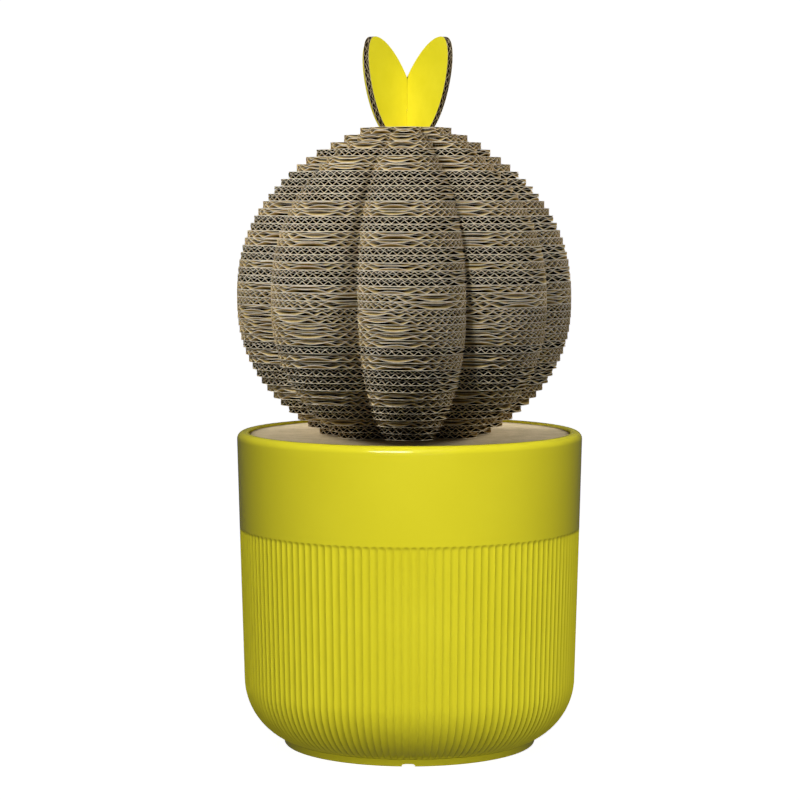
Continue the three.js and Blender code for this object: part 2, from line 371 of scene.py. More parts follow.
pot = dict(
    rimRadius=160.8, rimThickness=10.7, rimTop=292.5, rimRound=6.6,  # mm
    bandFoot=204, bandFootRadius=158.7, cornerTop=62, cornerTopRadius=154.8, cornerRound=60.6,
    wall=4.5, floorTop=9, floorUnderside=4.5, footOuter=117.6, footInner=106, footHeight=6.5, footRound=1.5,
    footBevel=1,  # mm, on the inside of the foot ring
    lip=((2, 0), (0.6, 0.4), (0, 1.5)),  # mm out from the inside of the rim, and down from its top
    ledgeTop=284.25, ledgeWidth=8, ledgeDepth=6,
    notchWidth=12, notchHeight=2.6, notchX=-1.4, notchInward=6, notchOutward=3,  # mm, past the ring
    notchShoulder=((1, 1 / 3), (0.94, 0.62), (0.76, 0.88), (0.5, 1)),  # of half its width and its height
    flutes=140, firstRidge=-90,  # degrees, a ridge faces the front
    channelShare=0.96,  # of a flute's width; the rest is its ridge
    depthShare=0.42,  # of half a channel's width
    channelStart=3,  # mm above the foot ring
    bandFootStep=0.4, bandTopStep=1.5,  # mm, rows close to the band's ends keep its shading plain
    columnPlaces=(0.02, 0.16, 0.3, 0.43, 0.57, 0.7, 0.84, 0.98),  # across a flute
    endRows=(0, 0.25, 0.6, 1.1, 1.7, 2.4, 3.2, 4.2),  # mm from the end of a channel
    cornerRows=14, footSteps=6, rimSteps=10, innerSteps=8,
    crease=25,  # degrees
    colour="#ded42c", colourDark="#d6cb24", roughness=0.13, roughnessSpread=0.03, ior=1.49,
    peel=2.2, peelHeight=0.1, peelRelief=0.03,  # mm, mm and share: the faint orange peel of a moulding
    flow=83.3, flowRange=(0.3, 0.7),  # mm, and the noise values at the least and greatest roughness
)
potLowest = math.asin((pot["cornerTop"] - pot["footHeight"]) / pot["cornerRound"])


# Moulded polypropylene, coloured through: an even gloss, with the faint ripple of the mould.
def mouldedPlastic():
    material, tree, shader = newMaterial("polypropylene, injection moulded")
    place = addNode(tree, "ShaderNodeTexCoord").outputs["Object"]
    ripple = addNode(tree, "ShaderNodeTexNoise", {
        "Vector": place, "Scale": 1 / (pot["peel"] * mm), "Detail": 1})
    flow = addNode(tree, "ShaderNodeTexNoise", {
        "Vector": place, "Scale": 1 / (pot["flow"] * mm), "Detail": 2})
    colour = addNode(tree, "ShaderNodeMix", {
        "Factor": flow, mixA: linear(pot["colourDark"]), mixB: linear(pot["colour"])}, data_type="RGBA")
    rough, spread, (low, high) = pot["roughness"], pot["roughnessSpread"], pot["flowRange"]
    shine = addNode(tree, "ShaderNodeMapRange", {
        0: flow, 1: low, 2: high, 3: rough - spread, 4: rough + spread})
    bump = addNode(tree, "ShaderNodeBump", {
        "Height": ripple, "Strength": pot["peelRelief"], "Distance": pot["peelHeight"] * mm})
    setInputs(tree, shader, {
        "Base Color": colour.outputs[mixResult], "Roughness": shine, "Normal": bump, "IOR": pot["ior"]})
    return material


# Where the outside of the fluted wall is, this far up from the foot ring. Millimetres.
def potWallAt(distance):
    bend = pot["cornerRound"]
    if distance < bend * potLowest:
        turn = distance / bend - potLowest
        centre = pot["cornerTopRadius"] - bend
        return centre + bend * math.cos(turn), pot["cornerTop"] + bend * math.sin(turn)
    share = (distance - bend * potLowest) / (pot["bandFoot"] - pot["cornerTop"])
    radius = pot["cornerTopRadius"] + share * (pot["bandFootRadius"] - pot["cornerTopRadius"])
    return radius, pot["cornerTop"] + share * (pot["bandFoot"] - pot["cornerTop"])


# The pot's section, how far along a channel each of its points lies, or None off the flutes, and the
# channels' length.
def potSection():
    cornerLength = pot["cornerRound"] * potLowest
    start, top = pot["channelStart"], cornerLength + pot["bandFoot"] - pot["cornerTop"]
    distances = [0] + [start + d for d in pot["endRows"]]
    distances += [distances[-1] + (cornerLength - distances[-1]) * (i + 1) / pot["cornerRows"]
                  for i in range(pot["cornerRows"])]
    distances += [top - d for d in reversed(pot["endRows"])] + [top + pot["bandFootStep"]]
    inner = pot["cornerRound"] - pot["wall"]
    innerLowest = -math.degrees(math.asin((pot["cornerTop"] - pot["floorTop"]) / inner))
    cornerCentre = pot["cornerTopRadius"] - pot["cornerRound"]
    rimInner = pot["rimRadius"] - pot["rimThickness"]
    ledgeBottom = pot["ledgeTop"] - pot["ledgeDepth"]
    below = [(0, pot["floorUnderside"]), (pot["footInner"], pot["floorUnderside"])]
    below += [(pot["footInner"] + pot["footBevel"], 0)]
    below += arcSection(pot["footOuter"] - pot["footRound"], pot["footRound"], pot["footRound"], -90, 0,
                        pot["footSteps"])
    rimFoot = pot["rimTop"] - pot["rimRound"]
    share = 1 - pot["bandTopStep"] / (rimFoot - pot["bandFoot"])
    bandEnd = pot["bandFootRadius"] + share * (pot["rimRadius"] - pot["bandFootRadius"])
    above = [(bandEnd, rimFoot - pot["bandTopStep"])]
    above += arcSection(pot["rimRadius"] - pot["rimRound"], rimFoot, pot["rimRound"], 0, 90,
                        pot["rimSteps"])
    above += [(rimInner + out, pot["rimTop"] - down) for out, down in pot["lip"]]
    ledgeInner, bandInner = rimInner - pot["ledgeWidth"], pot["bandFootRadius"] - pot["wall"]
    above += [(rimInner, pot["ledgeTop"]), (ledgeInner, pot["ledgeTop"]), (ledgeInner, ledgeBottom)]
    above += [(bandInner, ledgeBottom - 2 * pot["ledgeWidth"]), (bandInner, pot["bandFoot"])]
    above += arcSection(cornerCentre, pot["cornerTop"], inner, 0, innerLowest, pot["innerSteps"])
    above += [(0, pot["floorTop"])]
    section = below + [potWallAt(d) for d in distances] + above
    places = [None] * len(below) + [d - start for d in distances] + [None] * len(above)
    return section, places, top - start


# Presses round-ended channels into the pot's wall, one for each flute.
def fluteTree():
    labels = ("Flutes", "First Ridge", "Channel Share", "Depth Share", "Channel Length")
    tree, given = newTree("flutes", {"Pot": "Geometry", **{label: "Float" for label in labels}})
    place = addNode(tree, "GeometryNodeInputPosition")
    parts = addNode(tree, "ShaderNodeSeparateXYZ", {0: place})
    heading = addNode(tree, "ShaderNodeMath", {0: parts.outputs["Y"], 1: parts.outputs["X"]},
                      operation="ARCTAN2")
    onward = addNode(tree, "ShaderNodeMath", {0: heading, 1: given["First Ridge"]}, operation="SUBTRACT")
    each = addNode(tree, "ShaderNodeMath", {0: given["Flutes"], 1: 2 * math.pi}, operation="DIVIDE")
    count = addNode(tree, "ShaderNodeMath", {0: onward, 1: each, 2: 0.5}, operation="MULTIPLY_ADD")
    across = addNode(tree, "ShaderNodeMath", {0: count, 1: 0.5, 2: -0.5}, operation="WRAP")
    halfShare = addNode(tree, "ShaderNodeMath", {0: given["Channel Share"], 1: 0.5}, operation="MULTIPLY")
    aside = addNode(tree, "ShaderNodeMath", {0: across, 1: halfShare}, operation="DIVIDE")
    flat = addNode(tree, "ShaderNodeCombineXYZ", {0: parts.outputs["X"], 1: parts.outputs["Y"]})
    radius = addNode(tree, "ShaderNodeVectorMath", {0: flat}, operation="LENGTH")
    pitch = addNode(tree, "ShaderNodeMath", {0: radius.outputs["Value"], 1: each}, operation="DIVIDE")
    half = addNode(tree, "ShaderNodeMath", {0: pitch, 1: halfShare}, operation="MULTIPLY")
    along = addNode(tree, "GeometryNodeInputNamedAttribute", {"Name": "along"}, data_type="FLOAT")
    fromStart = addNode(tree, "ShaderNodeMath", {0: half, 1: along}, operation="SUBTRACT")
    left = addNode(tree, "ShaderNodeMath", {0: given["Channel Length"], 1: half}, operation="SUBTRACT")
    fromEnd = addNode(tree, "ShaderNodeMath", {0: along, 1: left}, operation="SUBTRACT")
    nearer = addNode(tree, "ShaderNodeMath", {0: fromStart, 1: fromEnd}, operation="MAXIMUM")
    past = addNode(tree, "ShaderNodeMath", {0: nearer, 1: 0}, operation="MAXIMUM")
    beyond = addNode(tree, "ShaderNodeMath", {0: past, 1: half}, operation="DIVIDE")
    asideSquared = addNode(tree, "ShaderNodeMath", {0: aside, 1: aside}, operation="MULTIPLY")
    both = addNode(tree, "ShaderNodeMath", {0: beyond, 1: beyond, 2: asideSquared},
                   operation="MULTIPLY_ADD")
    bowl = addNode(tree, "ShaderNodeMath", {0: 1, 1: both}, operation="SUBTRACT")
    inside = addNode(tree, "ShaderNodeMath", {0: bowl, 1: 0}, operation="MAXIMUM")
    deepest = addNode(tree, "ShaderNodeMath", {0: half, 1: given["Depth Share"]}, operation="MULTIPLY")
    depth = addNode(tree, "ShaderNodeMath", {0: inside, 1: deepest}, operation="MULTIPLY")
    back = addNode(tree, "ShaderNodeMath", {0: depth, 1: -1}, operation="MULTIPLY")
    normal = addNode(tree, "GeometryNodeInputNormal")
    inward = addNode(tree, "ShaderNodeVectorMath", {0: normal, "Scale": back}, operation="SCALE")
    pressed = addNode(tree, "GeometryNodeSetPosition", {"Geometry": given["Pot"], "Offset": inward})
    real = addNode(tree, "GeometryNodeRealizeInstances", {0: pressed})
    addNode(tree, "NodeGroupOutput", {"Geometry": real})
    return tree


# The drain notch through the front of the foot ring: flat on top, with rounded shoulders.
def notchCutter():
    half, high = pot["notchWidth"] / 2, pot["notchHeight"]
    shoulder = [(half * across, high * up) for across, up in pot["notchShoulder"]]
    outline = [(-half, -overcut), (half, -overcut)] + shoulder + [(-x, z) for x, z in reversed(shoulder)]
    turn = Matrix.Rotation(math.radians(90), 4, "X") @ Matrix.Scale(mm, 4)
    mesh = prism("notch", outline, pot["footInner"] - pot["notchInward"],
                 pot["footOuter"] + pot["notchOutward"])
    mesh.transform(turn @ Matrix.Translation((pot["notchX"], 0, 0)))
    return mesh


def makePot():
    section, places, length = potSection()
    first = math.radians(pot["firstRidge"])
    pitch = 2 * math.pi / pot["flutes"]
    headings = [first + pitch * (i + share) for i in range(pot["flutes"]) for share in pot["columnPlaces"]]
    mesh, rows = turnedMesh("potBlank", [(r * mm, z * mm) for r, z in section], headings)
    along = mesh.attributes.new("along", "FLOAT", "POINT")
    far = -2 * length
    for row, place in zip(rows, places):
        for index in row:
            along.data[index].value = (far if place is None else place) * mm
    fluted = runTree("fluted", fluteTree(), {
        "Flutes": pot["flutes"], "First Ridge": first, "Channel Share": pot["channelShare"],
        "Depth Share": pot["depthShare"], "Channel Length": length * mm}, mesh)
    whole = cutOut("fluted_pot", fluted, notchCutter(), mouldedPlastic())
    replaced = ["pot_floor", "pot_foot", "pot_corner", "pot_wall", "pot_rim"]
    addPiece("fluted_pot", whole, replaced, "pot", pot["crease"])


lid = dict(
    top=290.25, thickness=6, radius=149.5, edgeRound=0.6,  # mm
    segments=240, edgeSteps=3,
    holeRadius=4.4, holeX=-4.8, holePoints=32,
    colour="#c8b48a", colourDark="#ac9a70", roughness=0.8, relief=0.25, fibre=1.6, blotch=14,
)


def makeLid():
    # Fibreboard, sawn and unfinished: matt, beige, flecked with short fibres.
    fibreboard = mottled("fibreboard, sawn", lid["colour"], lid["colourDark"],
                         lid["roughness"], lid["fibre"], lid["blotch"], lid["relief"])
    bottom, bend, steps = lid["top"] - lid["thickness"], lid["edgeRound"], lid["edgeSteps"]
    centre = lid["radius"] - bend
    section = [(0, bottom)] + arcSection(centre, bottom + bend, bend, -90, 0, steps)
    section += arcSection(centre, lid["top"] - bend, bend, 0, 90, steps) + [(0, lid["top"])]
    headings = [2 * math.pi * i / lid["segments"] for i in range(lid["segments"])]
    mesh = turnedMesh("lidBlank", [(r * mm, z * mm) for r, z in section], headings)[0]
    hole = prism("lidHole", ringPoints(lid["holeRadius"] * mm, lid["holePoints"], lid["holeX"] * mm),
                 (bottom - overcut) * mm, (lid["top"] + overcut) * mm)
    addPiece("lid_disc", cutOut("lid_disc", mesh, hole, fibreboard), ["pot_lid"], "lid")


makePot()
makeLid()
print("pot and lid made")

board = dict(
    thickness=6.75,  # mm
    liner=0.42, paper=0.48,  # mm, as wide as their frayed cut edges look
    middleLiner=0.22,  # mm
    smallPitch=6.2, largePitch=7.8, smallShare=0.41,  # mm and share, fine flutes above, coarse below
    stepsPerFlute=10,
    straightness=0.1,  # of the flanks: 0 is a plain sine
    crush=0.5,  # mm, how far the fluted paper wanders up and down
    crushSize=9,  # mm
    cutTilt=0.3,  # a face whose normal rises or falls less than this is a cut
    faceSlack=0.01,  # mm
)
# What a tree that makes a board is given, besides its plate and the span of its sheets.
boardInputs = {
    "Flute Heading": "Float", "Shift": "Float", "Crush": "Float", "Seed": "Float",
    "Face": "Material", "Edge": "Material",
}


# One wavy sheet: flutes along Y, between two heights.
def flutedSheetTree():
    labels = ("Span", "Pitch", "Low", "High", "Paper", "Shift")
    tree, given = newTree("flutedSheet", {label: "Float" for label in labels})
    flutes = addNode(tree, "ShaderNodeMath", {0: given["Span"], 1: given["Pitch"]}, operation="DIVIDE")
    steps = addNode(tree, "ShaderNodeMath", {0: flutes, 1: board["stepsPerFlute"]}, operation="MULTIPLY")
    size = addNode(tree, "ShaderNodeCombineXYZ", {0: given["Span"], 1: given["Span"], 2: 2.0})
    sheet = addNode(tree, "GeometryNodeMeshCube", {
        "Size": size, "Vertices X": steps, "Vertices Y": 2, "Vertices Z": 2})
    place = addNode(tree, "GeometryNodeInputPosition")
    parts = addNode(tree, "ShaderNodeSeparateXYZ", {0: place})
    shifted = addNode(tree, "ShaderNodeMath", {0: parts.outputs["X"], 1: given["Shift"]}, operation="ADD")
    turn = addNode(tree, "ShaderNodeMath", {0: 2 * math.pi, 1: given["Pitch"]}, operation="DIVIDE")
    angle = addNode(tree, "ShaderNodeMath", {0: shifted, 1: turn}, operation="MULTIPLY")
    # A third harmonic straightens the flanks: full height is 1 + straightness.
    straight, full = board["straightness"], 1 + board["straightness"]
    triple = addNode(tree, "ShaderNodeMath", {0: angle, 1: 3}, operation="MULTIPLY")
    waves = []
    for kind, share in (("SINE", straight), ("COSINE", 3 * straight)):
        plain = addNode(tree, "ShaderNodeMath", {0: angle}, operation=kind)
        extra = addNode(tree, "ShaderNodeMath", {0: triple}, operation=kind)
        summed = addNode(tree, "ShaderNodeMath", {0: extra, 1: -share, 2: plain}, operation="MULTIPLY_ADD")
        waves.append(addNode(tree, "ShaderNodeMath", {0: summed, 1: full}, operation="DIVIDE"))
    wave, lean = waves
    room = addNode(tree, "ShaderNodeMath", {0: given["High"], 1: given["Low"]}, operation="SUBTRACT")
    swing = addNode(tree, "ShaderNodeMath", {0: room, 1: given["Paper"]}, operation="SUBTRACT")
    reach = addNode(tree, "ShaderNodeMath", {0: swing, 1: 0.5}, operation="MULTIPLY")
    middle = addNode(tree, "ShaderNodeMath", {0: room, 1: 0.5, 2: given["Low"]}, operation="MULTIPLY_ADD")
    centre = addNode(tree, "ShaderNodeMath", {0: wave, 1: reach, 2: middle}, operation="MULTIPLY_ADD")
    steepest = addNode(tree, "ShaderNodeMath", {0: reach, 1: turn}, operation="MULTIPLY")
    slope = addNode(tree, "ShaderNodeMath", {0: lean, 1: steepest}, operation="MULTIPLY")
    # A steep flank needs more height to keep the paper's thickness.
    squared = addNode(tree, "ShaderNodeMath", {0: slope, 1: slope, 2: 1.0}, operation="MULTIPLY_ADD")
    stretch = addNode(tree, "ShaderNodeMath", {0: squared}, operation="SQRT")
    halfPaper = addNode(tree, "ShaderNodeMath", {0: given["Paper"], 1: 0.5}, operation="MULTIPLY")
    half = addNode(tree, "ShaderNodeMath", {0: stretch, 1: halfPaper}, operation="MULTIPLY")
    height = addNode(tree, "ShaderNodeMath", {0: parts.outputs["Z"], 1: half, 2: centre},
                     operation="MULTIPLY_ADD")
    wavy = addNode(tree, "ShaderNodeCombineXYZ", {0: parts.outputs["X"], 1: parts.outputs["Y"], 2: height})
    shaped = addNode(tree, "GeometryNodeSetPosition", {"Geometry": sheet, "Position": wavy})
    addNode(tree, "NodeGroupOutput", {"Geometry": shaped})
    return tree


# Turns a solid plate, from height 0 up, into double-wall board cut to that plate.
def corrugateTree(sheetTree):
    tree, given = newTree("corrugate", {"Plate": "Geometry", "Span": "Float", **boardInputs})
    thick, liner, middle = board["thickness"] * mm, board["liner"] * mm, board["middleLiner"] * mm
    split = thick - liner - (thick - 2 * liner - middle) * board["smallShare"]
    layers = [  # pitch, low and high of the two fluted sheets
        (board["largePitch"] * mm, liner, split - middle),
        (board["smallPitch"] * mm, split, thick - liner),
    ]
    sheets = []
    for pitch, low, high in layers:
        sheets.append(addNode(tree, "GeometryNodeGroup", {
            "Pitch": pitch, "Low": low, "High": high, "Paper": board["paper"] * mm,
            "Span": given["Span"], "Shift": given["Shift"]}, node_tree=sheetTree))
    turned = addNode(tree, "ShaderNodeCombineXYZ", {2: given["Flute Heading"]})
    joined = addNode(tree, "GeometryNodeJoinGeometry", {0: sheets})
    aligned = addNode(tree, "GeometryNodeTransform", {"Geometry": joined, "Rotation": turned})
    slabs = []
    for low, high in ((-liner, liner), (split - middle, split), (thick - liner, thick + liner)):
        size = addNode(tree, "ShaderNodeCombineXYZ", {0: given["Span"], 1: given["Span"], 2: high - low})
        slab = addNode(tree, "GeometryNodeMeshCube", {"Size": size})
        slabs.append(addNode(tree, "GeometryNodeTransform", {
            "Geometry": slab, "Translation": (0, 0, (low + high) / 2)}))
    stack = addNode(tree, "GeometryNodeJoinGeometry", {0: slabs})
    fluted, liners = [
        addNode(tree, "GeometryNodeMeshBoolean", {"Mesh 2": [sheet, given["Plate"]]},
                operation="INTERSECT", solver="MANIFOLD")
        for sheet in (aligned, stack)
    ]
    # The flutes wander a little up and down.
    place = addNode(tree, "GeometryNodeInputPosition")
    noise = addNode(tree, "ShaderNodeTexNoise", {
        "Vector": place, "W": given["Seed"], "Scale": 1 / (board["crushSize"] * mm), "Detail": 1},
        noise_dimensions="4D")
    offset = addNode(tree, "ShaderNodeMath", {0: noise, 1: 0.5}, operation="SUBTRACT")
    drift = addNode(tree, "ShaderNodeMath", {0: offset, 1: given["Crush"]}, operation="MULTIPLY")
    upward = addNode(tree, "ShaderNodeCombineXYZ", {2: drift})
    crushed = addNode(tree, "GeometryNodeSetPosition", {"Geometry": fluted, "Offset": upward})
    whole = addNode(tree, "GeometryNodeJoinGeometry", {0: [crushed, liners]})
    real = addNode(tree, "GeometryNodeRealizeInstances", {0: whole})
    # Upright faces are cuts, and the flat ones at the very top and bottom are the board's faces.
    normal = addNode(tree, "ShaderNodeSeparateXYZ", {0: addNode(tree, "GeometryNodeInputNormal")})
    tilt = addNode(tree, "ShaderNodeMath", {0: normal.outputs["Z"]}, operation="ABSOLUTE")
    isCut = addNode(tree, "FunctionNodeCompare", {0: tilt, 1: board["cutTilt"]}, operation="LESS_THAN")
    height = addNode(tree, "ShaderNodeSeparateXYZ", {0: place})
    fromMiddle = addNode(tree, "ShaderNodeMath", {0: height.outputs["Z"], 1: thick / 2},
                         operation="SUBTRACT")
    away = addNode(tree, "ShaderNodeMath", {0: fromMiddle}, operation="ABSOLUTE")
    isFace = addNode(tree, "FunctionNodeCompare", {0: away, 1: thick / 2 - board["faceSlack"] * mm},
                     operation="GREATER_THAN")
    finished = addNode(tree, "GeometryNodeSetMaterial", {"Geometry": real, "Material": fluting})
    for chosen, label in ((isFace, "Face"), (isCut, "Edge")):
        finished = addNode(tree, "GeometryNodeSetMaterial", {
            "Geometry": finished, "Selection": chosen, "Material": given[label]})
    addNode(tree, "NodeGroupOutput", {"Geometry": finished})
    return tree


ball = dict(
    discs=42, bottom=290.25,  # mm, on the lid
    radius=155.6, centre=415.9, crown=166.1, base=150.9, acrossPower=1.43, alongPower=2.33,
    lobes=8, lobeShare=0.68, lobePoints=24, frontLobe=-87,  # degrees
    spindleX=-4.8, lean=-0.045, crownX=-3.5,
    tubeDiscs=36, tubeHole=20.4, pocketDiscs=2, pocketHole=29, holePoints=64,
    petalDiscs=3, slotReach=24.4, slotHalf=3.775,
    sheetSpan=2.05,  # of a disc's radius, so that the sheets it is cut from reach past it
    # How each disc is turned, from the top down: across the view, along it, or slanted right or left.
    layout="SSSCSSCCCCSSCCSSCCSCCSRRLLSSSCSSCCCSSCCSCC",
    fluteHeadings={"C": -107, "S": -18, "R": -156, "L": -41},
    headingSlack=4, seed=11, crushSeeds=50,
)


# Cosine and sine of the angle from the middle of the nearest lobe, one of which is at the heading given.
def withinLobe(tree, parts, half, other, heading):
    around = addNode(tree, "ShaderNodeMath", {0: parts.outputs["Y"], 1: parts.outputs["X"]},
                     operation="ARCTAN2")
    onward = addNode(tree, "ShaderNodeMath", {0: around, 1: heading}, operation="SUBTRACT")
    within = addNode(tree, "ShaderNodeMath", {0: onward, 1: half, 2: other}, operation="WRAP")
    return [addNode(tree, "ShaderNodeMath", {0: within}, operation=kind) for kind in ("COSINE", "SINE")]


# Fluting: recycled paper, pale and matt near the cut. Deeper in, it carries painted shade: it is drawn
# nearly black, darker than real paper, so that the channels look deep. How deep a point lies comes from its
# place in the disc, which each disc carries as an attribute.
def flutingPaper():
    material = paper("fluting paper, recycled and scuffed by the die", "fluting", "kraft")
    tree = material.node_tree
    shader = tree.nodes["Principled BSDF"]
    # the fluting's own colour, before the painted shade
    unshadedColour = shader.inputs["Base Color"].links[0].from_socket
    place = addNode(tree, "ShaderNodeAttribute", attribute_name="inDisc")
    parts = addNode(tree, "ShaderNodeSeparateXYZ", {0: place.outputs["Vector"]})
    half = math.pi / ball["lobes"]
    cosine, sine = withinLobe(tree, parts, half, -half, math.radians(ball["frontLobe"]))
    flat = addNode(tree, "ShaderNodeCombineXYZ", {0: parts.outputs["X"], 1: parts.outputs["Y"]})
    radius = addNode(tree, "ShaderNodeVectorMath", {0: flat}, operation="LENGTH").outputs["Value"]
    out = addNode(tree, "ShaderNodeMath", {0: radius, 1: cosine, 2: -ball["lobeShare"]},
                  operation="MULTIPLY_ADD")
    outward = addNode(tree, "ShaderNodeMath", {0: out, 1: 0}, operation="MAXIMUM")
    aside = addNode(tree, "ShaderNodeMath", {0: radius, 1: sine}, operation="MULTIPLY")
    fromLobe = addNode(tree, "ShaderNodeCombineXYZ", {0: outward, 1: aside})
    distance = addNode(tree, "ShaderNodeVectorMath", {0: fromLobe}, operation="LENGTH").outputs["Value"]
    share = addNode(tree, "ShaderNodeMath", {0: 1 - ball["lobeShare"], 1: distance}, operation="SUBTRACT")
    depth = addNode(tree, "ShaderNodeMath", {0: share, 1: parts.outputs["Z"]}, operation="MULTIPLY")
    # Painted shade: a little way in from the cut, the paper turns darker the deeper it lies, and is nearly
    # black further in.
    deep = addNode(tree, "ShaderNodeMapRange", {
        0: depth, 1: paperLook["paintedShadeStart"] * mm, 2: paperLook["paintedShadeFull"] * mm, 3: 0, 4: 1})
    colour = addNode(tree, "ShaderNodeMix", {
        "Factor": deep, mixA: unshadedColour, mixB: linear(paperLook["flutingPaintedShade"])}, data_type="RGBA")
    setInputs(tree, shader, {"Base Color": colour.outputs[mixResult], "Specular IOR Level": 0})
    return material


# Ends a tree by storing where its points lie in their disc, for the painted shade of the fluting paper.
def storePlaces(tree, geometry, inDisc):
    marked = addNode(tree, "GeometryNodeStoreNamedAttribute", {
        "Geometry": geometry, "Name": "inDisc", "Value": inDisc}, data_type="FLOAT_VECTOR", domain="POINT")
    real = addNode(tree, "GeometryNodeRealizeInstances", {0: marked})
    addNode(tree, "NodeGroupOutput", {"Geometry": real})
    return tree


fluting = flutingPaper()
corrugate = corrugateTree(flutedSheetTree())


def discRadius(number):
    rise = ball["bottom"] + (number - 0.5) * board["thickness"] - ball["centre"]
    half = ball["crown"] if rise > 0 else ball["base"]
    return ball["radius"] * (1 - (abs(rise) / half) ** ball["alongPower"]) ** (1 / ball["acrossPower"])


# The stack leans a little. Its top discs, which hold the petals, sit to the right of the rest.
def stackX(number):
    if number > ball["discs"] - ball["petalDiscs"]:
        return ball["crownX"]
    return ball["spindleX"] + ball["lean"] * (number - (ball["discs"] + 1) / 2)


# A disc with round lobes, cut from board. Each lobe is an arc about a centre set out from the middle.
def discTree():
    tree, given = newTree("cactusDisc", {
        "Radius": "Float", "Lobes": "Int", "Lobe Share": "Float", "Lobe Points": "Int",
        "Lobe Heading": "Float", "Thickness": "Float", "Opening": "Object", "Opening X": "Float",
        "Has Opening": "Bool", **boardInputs})
    count = addNode(tree, "ShaderNodeMath", {0: given["Lobes"], 1: given["Lobe Points"]},
                    operation="MULTIPLY")
    drum = addNode(tree, "GeometryNodeMeshCylinder", {
        "Vertices": count, "Side Segments": 1, "Radius": 1, "Depth": given["Thickness"]})
    place = addNode(tree, "GeometryNodeInputPosition")
    parts = addNode(tree, "ShaderNodeSeparateXYZ", {0: place})
    half = addNode(tree, "ShaderNodeMath", {0: math.pi, 1: given["Lobes"]}, operation="DIVIDE")
    other = addNode(tree, "ShaderNodeMath", {0: half, 1: -1}, operation="MULTIPLY")
    cosine, sine = withinLobe(tree, parts, half, other, 0)
    out = addNode(tree, "ShaderNodeMath", {0: cosine, 1: given["Lobe Share"]}, operation="MULTIPLY")
    aside = addNode(tree, "ShaderNodeMath", {0: sine, 1: given["Lobe Share"]}, operation="MULTIPLY")
    arm = addNode(tree, "ShaderNodeMath", {0: 1, 1: given["Lobe Share"]}, operation="SUBTRACT")
    armSquared = addNode(tree, "ShaderNodeMath", {0: arm, 1: arm}, operation="MULTIPLY")
    asideSquared = addNode(tree, "ShaderNodeMath", {0: aside, 1: aside}, operation="MULTIPLY")
    rest = addNode(tree, "ShaderNodeMath", {0: armSquared, 1: asideSquared}, operation="SUBTRACT")
    arc = addNode(tree, "ShaderNodeMath", {0: rest}, operation="SQRT")
    reach = addNode(tree, "ShaderNodeMath", {0: out, 1: arc}, operation="ADD")
    far = addNode(tree, "ShaderNodeMath", {0: reach, 1: given["Radius"]}, operation="MULTIPLY")
    scaled = addNode(tree, "ShaderNodeCombineXYZ", {0: far, 1: far, 2: 1})
    lobed = addNode(tree, "ShaderNodeVectorMath", {0: place, 1: scaled}, operation="MULTIPLY")
    shaped = addNode(tree, "GeometryNodeSetPosition", {"Geometry": drum, "Position": lobed})
    lift = addNode(tree, "ShaderNodeMath", {0: given["Thickness"], 1: 0.5}, operation="MULTIPLY")
    raised = addNode(tree, "ShaderNodeCombineXYZ", {2: lift})
    turned = addNode(tree, "ShaderNodeCombineXYZ", {2: given["Lobe Heading"]})
    plate = addNode(tree, "GeometryNodeTransform", {
        "Geometry": shaped, "Translation": raised, "Rotation": turned})
    opening = addNode(tree, "GeometryNodeObjectInfo", {"Object": given["Opening"]})
    openingX = addNode(tree, "ShaderNodeCombineXYZ", {0: given["Opening X"]})
    cutter = addNode(tree, "GeometryNodeTransform", {
        "Geometry": opening.outputs["Geometry"], "Translation": openingX})
    pierced = addNode(tree, "GeometryNodeMeshBoolean", {"Mesh 1": plate, "Mesh 2": [cutter]},
                      operation="DIFFERENCE", solver="MANIFOLD")
    chosen = addNode(tree, "GeometryNodeSwitch", {
        "Switch": given["Has Opening"], "False": plate, "True": pierced}, input_type="GEOMETRY")
    span = addNode(tree, "ShaderNodeMath", {0: given["Radius"], 1: ball["sheetSpan"]}, operation="MULTIPLY")
    taken = {label: given[label] for label in boardInputs}
    disc = addNode(tree, "GeometryNodeGroup", {"Plate": chosen, "Span": span, **taken}, node_tree=corrugate)
    # Where each point lies in the disc, as shares of its radius, and that radius.
    shares = [
        addNode(tree, "ShaderNodeMath", {0: parts.outputs[axis], 1: given["Radius"]}, operation="DIVIDE")
        for axis in ("X", "Y")
    ]
    inDisc = addNode(tree, "ShaderNodeCombineXYZ", {0: shares[0], 1: shares[1], 2: given["Radius"]})
    return storePlaces(tree, disc, inDisc)


def crossOutline():
    half, reach = ball["slotHalf"] * mm, ball["slotReach"] * mm
    points = []
    for quarter in range(4):
        turn = Matrix.Rotation(math.radians(petals["heading"]) + quarter * math.pi / 2, 2)
        points += [turn @ Vector(corner) for corner in ((half, -half), (reach, -half), (reach, half))]
    return points


